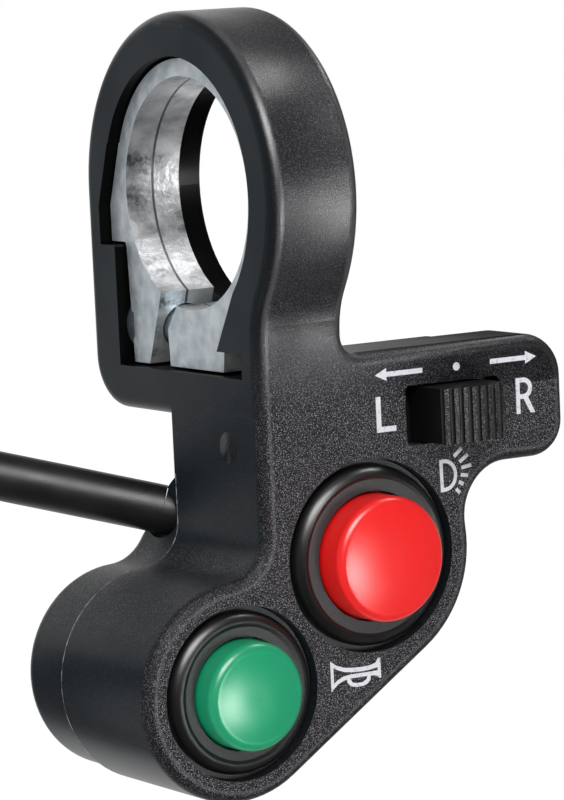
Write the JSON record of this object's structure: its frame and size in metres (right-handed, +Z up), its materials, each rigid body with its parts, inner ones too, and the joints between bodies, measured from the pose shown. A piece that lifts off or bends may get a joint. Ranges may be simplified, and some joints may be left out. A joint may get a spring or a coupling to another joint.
{
  "type": "handlebar switch cluster",
  "caption": "Handlebar switch cluster: a clamp ring in a black moulded housing, red and green push buttons, a ribbed turn signal slide and a coiled cable with a plug",
  "frame": {"origin": "centre of the clamp bore at the middle of its width", "axes": "+X along the handlebar towards the slide switch's wing, -Y towards the rider, +Z up"},
  "size_m": [0.1088, 0.0512, 0.1203],
  "materials": {
    "housing_black": "fine sparkling grain on the face and ring, satin side faces",
    "bezel_black": "semi-gloss moulded",
    "lamp_cap_red": "gloss moulded, tiny scratches",
    "horn_cap_green": "gloss moulded, tiny scratches",
    "slider_black": "matte moulded",
    "clamp_diecast": "as-cast zinc alloy, slightly mottled",
    "screw_zinc": "blue zinc plated",
    "steel_bright": "bright steel",
    "contact_brass": "stamped, bright",
    "base_brown": "pressed phenolic board",
    "carriage_nylon": "natural nylon",
    "cable_black": "satin PVC jacket",
    "lead_jacket": "satin PVC",
    "tie_black": "nylon",
    "plug_white": "natural nylon"
  },
  "bodies": {
    "switch_housing": {"front_housing": "housing_black", "rear_cover": "housing_black", "cover_screws": "steel_bright", "clamp_ring": "clamp_diecast", "clamp_screw": "screw_zinc", "lamp_bezel": "bezel_black", "horn_bezel": "bezel_black", "lamp_spring": "steel_bright", "horn_spring": "steel_bright", "lamp_switch_base": "base_brown", "horn_switch_base": "base_brown", "lamp_terminals": "contact_brass", "horn_terminals": "contact_brass", "lamp_latch_pin": "steel_bright", "turn_switch_base": "base_brown", "turn_terminals": "contact_brass", "turn_switch_frame": "steel_bright", "cable_grommet": "cable_black", "strain_band": "tie_black", "cable_stub": "cable_black", "inner_leads": "lead_jacket", "cable": "cable_black", "cable_coil": "cable_black", "cable_tail": "cable_black", "cable_tie": "tie_black", "connector_housing": "plug_white", "connector_terminals": "contact_brass"},
    "lamp_button": {"lamp_button": "lamp_cap_red", "lamp_contact_disc": "contact_brass"},
    "horn_button": {"horn_button": "horn_cap_green", "horn_contact_disc": "contact_brass"},
    "turn_slider": {"turn_slider": "slider_black", "turn_carriage": "carriage_nylon", "turn_contacts": "contact_brass", "turn_detent_ball": "steel_bright", "turn_detent_spring": "steel_bright"}
  },
  "joints": [
    {"name": "lamp_push", "type": "slide", "parent": "switch_housing", "child": "lamp_button", "axis": [0, 1, 0], "range_m": [0, 0.002], "stiffness_N_per_m": 400, "springref_m": -0.002, "deforming": ["lamp_spring"]},
    {"name": "horn_push", "type": "slide", "parent": "switch_housing", "child": "horn_button", "axis": [0, 1, 0], "range_m": [0, 0.002], "stiffness_N_per_m": 400, "springref_m": -0.002, "deforming": ["horn_spring"]},
    {"name": "turn_slide", "type": "slide", "parent": "switch_housing", "child": "turn_slider", "axis": [1, 0, 0], "range_m": [-0.00175, 0.00175]}
  ]
}
